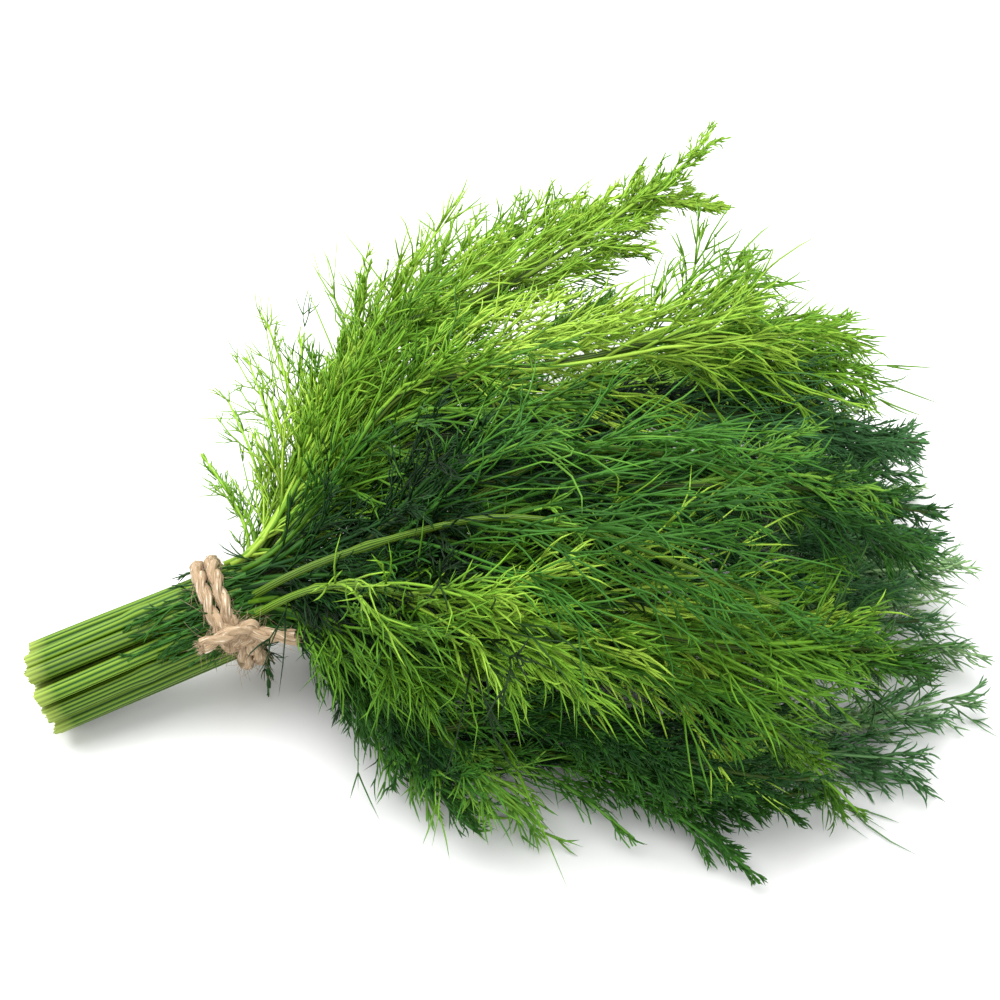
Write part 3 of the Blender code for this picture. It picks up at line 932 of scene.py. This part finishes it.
def add_fibres(skin, rng, starts, leaving, lengths, bend, stations, radius):
    """Loose fibres, each on a parabola: at the share s it is at start + l (s leaving + s^2 / 2 curl)."""
    count = len(starts)
    s = np.linspace(0.0, 1.0, stations)[None, :, None]
    curl = rng.normal(0.0, bend, (count, 3))
    paths = starts[:, None] + lengths * (s * leaving[:, None] + 0.5 * s * s * curl[:, None])
    radii = np.full(paths.shape[:2], radius)
    add_threads(skin, keep_inside(paths), radii, rng.uniform(0.1, 0.9, count), rows=JUTE_FIBRE_ROWS)


def add_hairs(skin, rng, path, twine, count):
    """Loose fibres that leave the twine aslant and curl."""
    at = rng.integers(2, len(path) - 2, count)
    heading = unit(path[at + 1] - path[at - 1])
    out = outward(rng, heading, count)
    lengths = rng.uniform(0.0018, 0.0062, count)[:, None, None]
    starts = path[at] + out * (twine.ply_radius * 1.5)
    leaving = unit(0.5 * out + rng.choice([-1.0, 1.0], (count, 1)) * heading)
    add_fibres(skin, rng, starts, leaving, lengths, 0.9, 6, twine.fibre_radius)


def add_frayed_end(skin, rng, end, heading, twine):
    """A brush of fibres where the twine was cut."""
    out = outward(rng, heading, FRAYED_FIBRES)
    reach = np.sqrt(rng.uniform(0.0, 1.0, (FRAYED_FIBRES, 1))) * (twine.ply_offset + 0.5 * twine.ply_radius)
    lengths = rng.uniform(0.0010, 0.0032, (FRAYED_FIBRES, 1, 1))
    starts = end - 0.0006 * heading + reach * out
    add_fibres(skin, rng, starts, unit(heading + 0.3 * out), lengths, 0.35, 5, 2.0 * twine.fibre_radius)


# --- materials ----------------------------------------------------------------------------------------------


def add_node(tree, kind, settings=None, links=None):
    """A node with values for its sockets or attributes, and links into its sockets."""
    node = tree.nodes.new(kind)
    for key, value in (settings or {}).items():
        if isinstance(key, int) or key in node.inputs:
            node.inputs[key].default_value = value
        else:
            setattr(node, key, value)
    for key, source in (links or {}).items():
        tree.links.new(source, node.inputs[key])
    return node


def add_ramp(tree, source, places, colours):
    """The colour from a ramp with these linear colours at these places."""
    ramp = add_node(tree, "ShaderNodeValToRGB", links={"Fac": source})
    elements = ramp.color_ramp.elements
    while len(elements) < len(places):
        elements.new(0.5)
    for element, position, colour in zip(elements, places, colours):
        element.position = position
        element.color = (*colour, 1.0)
    return ramp.outputs["Color"]


def new_material(name, roughness, ior):
    """A material, with its tree, its Principled shader, the place on the map, and that place split."""
    material = bpy.data.materials.new(name)
    material.use_nodes = True
    tree = material.node_tree
    shader = tree.nodes["Principled BSDF"]
    shader.inputs["Roughness"].default_value = roughness
    shader.inputs["IOR"].default_value = ior
    uv = add_node(tree, "ShaderNodeUVMap", {"uv_map": BAKE_MAP}).outputs["UV"]
    split = add_node(tree, "ShaderNodeSeparateXYZ", links={"Vector": uv})
    return material, tree, shader, uv, split


def leaf_material(name, colours):
    """Fresh dill leaf, waxy and thin: threads of many greens, darker where they join, paler at their tips."""
    material, tree, shader, _, split = new_material(name, 0.52, 1.33)
    base = add_ramp(tree, split.outputs["X"], (0.0, 0.35, 0.68, 1.0), colours)
    ends = {1: LEAF_ROWS[0], 2: LEAF_ROWS[1], 3: 0.72, 4: 1.18}
    value = add_node(tree, "ShaderNodeMapRange", ends, {0: split.outputs["Y"]})
    tinted = add_node(tree, "ShaderNodeHueSaturation", links={"Color": base, "Value": value.outputs[0]})
    tree.links.new(tinted.outputs["Color"], shader.inputs["Base Color"])
    return material


def stem_material(stems, name, brightness):
    """Fresh stem, moist and ribbed: pale ribs over deeper green grooves, partly painted highlight and shade,
    with long streaks.

    It is paler by the cut, and deeper past the tie, where the darkening is painted shade among the leaves.
    """
    material, tree, shader, uv, split = new_material(name, 0.45, 1.30)
    phase = {"operation": "MULTIPLY", 1: math.pi * stems.ribs}
    phase = add_node(tree, "ShaderNodeMath", phase, {0: split.outputs["X"]})
    wave = add_node(tree, "ShaderNodeMath", {"operation": "COSINE"}, {0: phase.outputs[0]})
    rib = add_node(tree, "ShaderNodeMath", {"operation": "ABSOLUTE"}, {0: wave.outputs[0]})
    stretched = add_node(tree, "ShaderNodeMapping", {"Scale": STREAKS}, {"Vector": uv})
    noise = {"Scale": 1.0, "Detail": 3.0}
    streak = add_node(tree, "ShaderNodeTexNoise", noise, {"Vector": stretched.outputs[0]})
    centred = {"operation": "MULTIPLY_ADD", 1: 0.7, 2: -0.35}
    streaked = add_node(tree, "ShaderNodeMath", centred, {0: streak.outputs["Fac"]})
    summed = {0: rib.outputs[0], 1: streaked.outputs[0]}
    shade = add_node(tree, "ShaderNodeMath", {"operation": "ADD"}, summed)
    # pale ribs over dark grooves: partly the stem's own stripes, partly painted highlight on the ribs and
    # painted shade in the grooves
    colour = add_ramp(tree, shade.outputs[0], (0.05, 0.5, 1.0), (stems.groove, stems.skin, stems.rib))
    # painted shade: the stalks grow darker past the tie, among the leaves
    ends = {1: mix(*STEM_ROWS, 0.33), 2: mix(*STEM_ROWS, 0.50), 3: brightness, 4: 0.42 * brightness}
    value = add_node(tree, "ShaderNodeMapRange", ends, {0: split.outputs["Y"]})
    shaded = add_node(tree, "ShaderNodeHueSaturation", links={"Color": colour, "Value": value.outputs[0]})
    near_cut = {1: STEM_ROWS[0], 2: STEM_ROWS[0] + 0.012, 3: 0.45, 4: 0.0}
    near_cut = add_node(tree, "ShaderNodeMapRange", near_cut, {0: split.outputs["Y"]})
    paler = {"data_type": "RGBA", 7: (*stems.flesh, 1.0)}
    tinted = add_node(tree, "ShaderNodeMix", paler, {0: near_cut.outputs[0], 6: shaded.outputs["Color"]})
    tree.links.new(tinted.outputs[2], shader.inputs["Base Color"])
    return material


def cut_material(stems):
    """Freshly cut stem: a moist green rim round a pale, spongy pith."""
    material, tree, shader, _, split = new_material("dill_cut_face", 0.5, 1.4)
    share = add_node(tree, "ShaderNodeMapRange", {1: CUT_ROWS[0], 2: CUT_ROWS[1]}, {0: split.outputs["Y"]})
    colours = (stems.skin, stems.flesh, stems.flesh, stems.pith)
    colour = add_ramp(tree, share.outputs[0], (0.0, 0.25, 0.6, 1.0), colours)
    tree.links.new(colour, shader.inputs["Base Color"])
    return material


def jute_material(twine):
    """Undyed jute, spun and plied: dull tan fibres with pale and brown strands that run along each ply."""
    material, tree, shader, uv, _ = new_material("jute_twine", 0.85, 1.5)
    stretched = add_node(tree, "ShaderNodeMapping", {"Scale": STRANDS}, {"Vector": uv})
    noise = {"Scale": 1.0, "Detail": 5.0, "Roughness": 0.65}
    fibre = add_node(tree, "ShaderNodeTexNoise", noise, {"Vector": stretched.outputs[0]})
    colours = (twine.shadow, twine.fibre, twine.fibre, twine.light)
    colour = add_ramp(tree, fibre.outputs["Fac"], (0.34, 0.46, 0.55, 0.68), colours)
    relief = {"Strength": 0.6, "Distance": 0.0003}
    bump = add_node(tree, "ShaderNodeBump", relief, {"Height": fibre.outputs["Fac"]})
    tree.links.new(colour, shader.inputs["Base Color"])
    tree.links.new(bump.outputs["Normal"], shader.inputs["Normal"])
    return material


# --- settings and operators ---------------------------------------------------------------------------------


def colour_property(name, description, code):
    return bpy.props.FloatVectorProperty(
        name=name, description=description, default=linear(code), subtype="COLOR", size=3, min=0.0, max=1.0
    )


def length_property(name, description, default):
    return bpy.props.FloatProperty(
        name=name, description=description, default=default, min=0.0, unit="LENGTH", precision=5
    )


def share_property(name, description, default):
    return bpy.props.FloatProperty(name=name, description=description, default=default, min=0.0)


def power_property(name, description, default):
    return bpy.props.FloatProperty(name=name, description=description, default=default, unit="POWER")


class DillLeafSettings(bpy.types.PropertyGroup):
    """How many leaves there are, and their shades and colours."""

    fullness: share_property("Fullness", "Leaves, over their usual number", 1.0)
    # painted shade: the leaves deep inside the bunch take the darkest shade
    inner_painted_shade: share_property("Inner shade", "Shade of the leaves deep inside", 0.0)
    outer_shade: share_property("Outer shade", "Shade of the leaves outside", 0.5)


for kind, codes in LEAF_COLOURS.items():
    for shade, code in zip(THREAD_SHADES, codes):
        description = f"The {shade} threads of {kind} sprigs"
        leaf_colour = colour_property(f"{kind.title()}, {shade}", description, code)
        DillLeafSettings.__annotations__[f"{kind}_{shade}"] = leaf_colour


class DillStemSettings(bpy.types.PropertyGroup):
    """Sizes and colours of the stems."""

    ribs: bpy.props.IntProperty(name="Ribs", description="Lengthwise ribs round a stem", default=11, min=4)
    rib_depth: length_property("Rib depth", "How far the ribs stand out of the grooves", 0.00042)
    stalk_radius: length_property("Stalk radius", "Radius of the stems among the leaves", 0.0016)
    # groove and rib colours are partly the stem's own stripes, partly painted shade and painted highlight
    groove: colour_property("Groove", "Between the ribs", "#1B4406")
    skin: colour_property("Skin", "Flanks of the ribs", "#4B8118")
    rib: colour_property("Rib", "Tops of the ribs", "#99C23A")
    flesh: colour_property("Flesh", "Cut flesh", "#BFCF66")
    pith: colour_property("Pith", "Middle of the cut", "#DCE3A6")


class DillTwineSettings(bpy.types.PropertyGroup):
    """Sizes and colours of the twine."""

    ply_radius: length_property("Ply radius", "Radius of each of the two plies", 0.00140)
    ply_offset: length_property("Ply offset", "From the middle of the twine to the middle of a ply", 0.00090)
    lay: length_property("Lay", "Length in which the plies go once round each other", 0.0150)
    fibre_radius: length_property("Fibre radius", "Radius of a loose fibre", 0.00005)
    shadow: colour_property("Dark fibre", "Darkest fibres", "#5F4D38")
    fibre: colour_property("Fibre", "Most fibres", "#AE9576")
    light: colour_property("Pale fibre", "Palest fibres", "#F1E6D2")


class DillStageSettings(bpy.types.PropertyGroup):
    """Floor and light."""

    floor: colour_property("Floor", "Colour of the floor", "#F4F4F4")
    key_power: power_property("Key power", "Large light above and behind", 31.0)
    fill_power: power_property("Fill power", "Soft light from the front", 9.0)


def sprig_materials(leaves, stems):
    """The finishes of the leaves and stems of each kind of sprig, and of a cut end."""
    materials = {"cut": cut_material(stems)}
    for kind, brightness in STEM_BRIGHTNESS.items():
        colours = [tuple(getattr(leaves, f"{kind}_{shade}")) for shade in THREAD_SHADES]
        materials[kind] = leaf_material(f"dill_leaf_{kind}", colours)
        materials[f"{kind}_stem"] = stem_material(stems, f"dill_stem_{kind}", brightness)
    return materials


def kind_of(sprig):
    """Which of the three greens a sprig is: partly its own tone, partly painted light by its place on top,
    inside or underneath.
    """
    if sprig.name in BRIGHT_SPRIGS:
        return "bright"
    return "deep" if sprig.name in DEEP_SPRIGS else "green"


def grow_plume(skin, rng, sprig, leaves):
    """A sprig's leaves all along it, those over the tie, and its tip."""
    outer = sprig.name.startswith("sprig_outer")
    kind = kind_of(sprig)
    plumes, collars = OUTER_LEAVES[int(sprig.name[-2:]) - 1] if outer else INNER_LEAVES
    paths = plume_fronds(rng, sprig, max(round(plumes * leaves.fullness), 2))
    if collars:
        paths = np.concatenate([paths, collar_fronds(rng, sprig, collars)])
    # the inner leaves' darker shade is painted shade inside the bunch
    middle_shade = leaves.outer_shade if outer else leaves.inner_painted_shade
    shades = frond_shades(rng, paths, middle_shade, 0.2 if outer else 0.08, TIP_SHIFTS[kind])
    fronds = Growth(paths, frond_normals(rng, paths), shades)
    grow_leaves(skin, rng, fronds, STYLES.get(sprig.name, LOOSE if kind == "bright" else DENSE))
    tip_x = np.linspace(sprig.tip_x - 0.070, sprig.tip_x, 9)
    tip_path = place(tip_x, *sprig.disc(tip_x))[None]
    tip_shades = frond_shades(rng, tip_path, middle_shade, 0.05, TIP_SHIFTS[kind])
    grow_leaves(skin, rng, Growth(tip_path, frond_normals(rng, tip_path), tip_shades), TIGHT)


def grow_pressed_leaves(skin, rng):
    """Small leaves that lie flat on the stems, under the twine."""
    middle = place(np.array(0.05), 0.0, 0.0)
    for start_x, end_x, *angles in PRESSED:
        path = pressed_frond(start_x, end_x, *map(math.radians, angles), BUNDLE_RADIUS + PRESSED_GAP)[None]
        grow_leaves(skin, rng, Growth(path, unit(path[:, 4] - middle), np.array([PRESSED_SHADE])), FLAT)


def make_sprig(sprig, index, scene, materials):
    """One sprig: its ribbed stem and its leaves, over its solid."""
    rng = np.random.default_rng(100 + index)
    kind = kind_of(sprig)
    skin = Skin()
    grow_stem(skin, np.random.default_rng(300 + index), sprig, scene.dill_stems)
    grow_plume(skin, rng, sprig, scene.dill_leaves)
    for start_x, end, style, shade in REACHING.get(sprig.name, ()):
        path = reaching_frond(sprig, start_x, end)[None]
        grow_leaves(skin, rng, Growth(path, frond_normals(rng, path), np.array([shade])), style)
    for seed, (owner, shade, places) in enumerate(TOP_STALKS):
        if owner == sprig.name:
            grow_top_stalk(skin, np.random.default_rng(520 + seed), places, shade)
    if sprig.name == PRESSED_SPRIG:
        grow_pressed_leaves(skin, rng)
    piece = skin.piece(f"{sprig.name}_looks", [materials[kind], materials[f"{kind}_stem"], materials["cut"]])
    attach(piece, "root")
    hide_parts(sprig.name)


class DILL_OT_sprigs(bpy.types.Operator):
    """Grow the nineteen sprigs over their solids"""

    bl_idname = "dill.sprigs"
    bl_label = "Sprigs"

    def execute(self, context):
        scene = context.scene
        materials = sprig_materials(scene.dill_leaves, scene.dill_stems)
        for index, sprig in enumerate(all_sprigs()):
            make_sprig(sprig, index, scene, materials)
        return {"FINISHED"}


class DILL_OT_twine(bpy.types.Operator):
    """Lay the jute twine round the stems, with its knot, its ends and its loose fibres"""

    bl_idname = "dill.twine"
    bl_label = "Twine"

    def execute(self, context):
        twine = context.scene.dill_twine
        skin = Skin()
        rng = np.random.default_rng(41)
        turns = turns_path()
        knot = knot_path()
        add_plies(skin, turns, (1.0, 0.05, 0.02), twine, (0.02, 0.60))
        out = around_bundle(TIE_X, 1.0, KNOT_ANGLE) - place(TIE_X, 0.0, 0.0)
        add_plies(skin, knot, out, twine, (0.62, 0.96))
        add_hairs(skin, rng, turns, twine, TURNS_HAIRS)
        add_hairs(skin, rng, knot, twine, KNOT_HAIRS)
        for end, following in ((0, 1), (-1, -2)):
            add_frayed_end(skin, rng, knot[end], unit(knot[end] - knot[following]), twine)
        piece = skin.piece("twine_tie_looks", [jute_material(twine)])
        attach(piece, "root")
        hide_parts("twine_tie")
        return {"FINISHED"}


class DILL_OT_stage(bpy.types.Operator):
    """Set the camera, the lights and the floor"""

    bl_idname = "dill.stage"
    bl_label = "Stage"

    def execute(self, context):
        scene = context.scene
        stage = scene.dill_stage
        mesh = bpy.data.meshes.new("floor")
        corners = [(FLOOR_REACH * x, FLOOR_REACH * y, 0) for x, y in ((-1, -1), (1, -1), (1, 1), (-1, 1))]
        mesh.from_pydata(corners, [], [(0, 1, 2, 3)])
        floor = bpy.data.objects.new("floor", mesh)
        scene.collection.objects.link(floor)
        material = bpy.data.materials.new("matt_paper")
        material.use_nodes = True
        shader = material.node_tree.nodes["Principled BSDF"]
        shader.inputs["Base Color"].default_value = (*stage.floor, 1.0)
        shader.inputs["Roughness"].default_value = 0.9
        mesh.materials.append(material)
        add_light("key", KEY_PLACE, stage.key_power)
        add_light("fill", FILL_PLACE, stage.fill_power)
        world = bpy.data.worlds.new("studio")
        world.use_nodes = True
        background = world.node_tree.nodes["Background"]
        background.inputs["Color"].default_value = (1.0, 1.0, 1.0, 1.0)
        background.inputs["Strength"].default_value = WORLD_STRENGTH
        scene.world = world
        scene.view_settings.view_transform = "Standard"
        add_camera(scene)
        return {"FINISHED"}


def add_light(name, location, power):
    """A square area light that faces the bunch."""
    lamp = bpy.data.lights.new(name, "AREA")
    lamp.size = LIGHT_SIZE
    lamp.energy = power
    light = bpy.data.objects.new(name, lamp)
    light.location = location
    light.rotation_euler = (Vector(MIDDLE) - Vector(location)).to_track_quat("-Z", "Y").to_euler()
    bpy.context.scene.collection.objects.link(light)


def add_camera(scene):
    """A long lens, turned a little to the stems and looking down at 45 degrees."""
    lens = bpy.data.cameras.new("camera")
    lens.lens = LENS
    lens.sensor_width = SENSOR
    camera = bpy.data.objects.new("camera", lens)
    flat = math.cos(CAMERA_HEIGHT)
    back = Vector((math.sin(CAMERA_TURN) * flat, -math.cos(CAMERA_TURN) * flat, math.sin(CAMERA_HEIGHT)))
    camera.location = Vector(MIDDLE) + CAMERA_DISTANCE * back
    camera.rotation_euler = back.to_track_quat("Z", "Y").to_euler()
    scene.collection.objects.link(camera)
    scene.camera = camera


class DILL_PT_panel(bpy.types.Panel):
    """Lists the operators that make the bunch and its stage"""

    bl_label = "Dill bunch"
    bl_idname = "DILL_PT_panel"
    bl_space_type = "VIEW_3D"
    bl_region_type = "UI"
    bl_category = "Dill"

    def draw(self, context):
        for operator in OPERATORS:
            self.layout.operator(operator.bl_idname)


SETTINGS = {
    "dill_leaves": DillLeafSettings,
    "dill_stems": DillStemSettings,
    "dill_twine": DillTwineSettings,
    "dill_stage": DillStageSettings,
}
OPERATORS = (DILL_OT_sprigs, DILL_OT_twine, DILL_OT_stage)


def register():
    for name, group in SETTINGS.items():
        bpy.utils.register_class(group)
        setattr(bpy.types.Scene, name, bpy.props.PointerProperty(type=group))
    for operator in OPERATORS:
        bpy.utils.register_class(operator)
    bpy.utils.register_class(DILL_PT_panel)


def unregister():
    bpy.utils.unregister_class(DILL_PT_panel)
    for operator in reversed(OPERATORS):
        bpy.utils.unregister_class(operator)
    for name, group in SETTINGS.items():
        delattr(bpy.types.Scene, name)
        bpy.utils.unregister_class(group)


def main():
    register()
    bpy.ops.dill.sprigs()
    bpy.ops.dill.twine()
    bpy.ops.dill.stage()


if __name__ == "__main__":
    main()
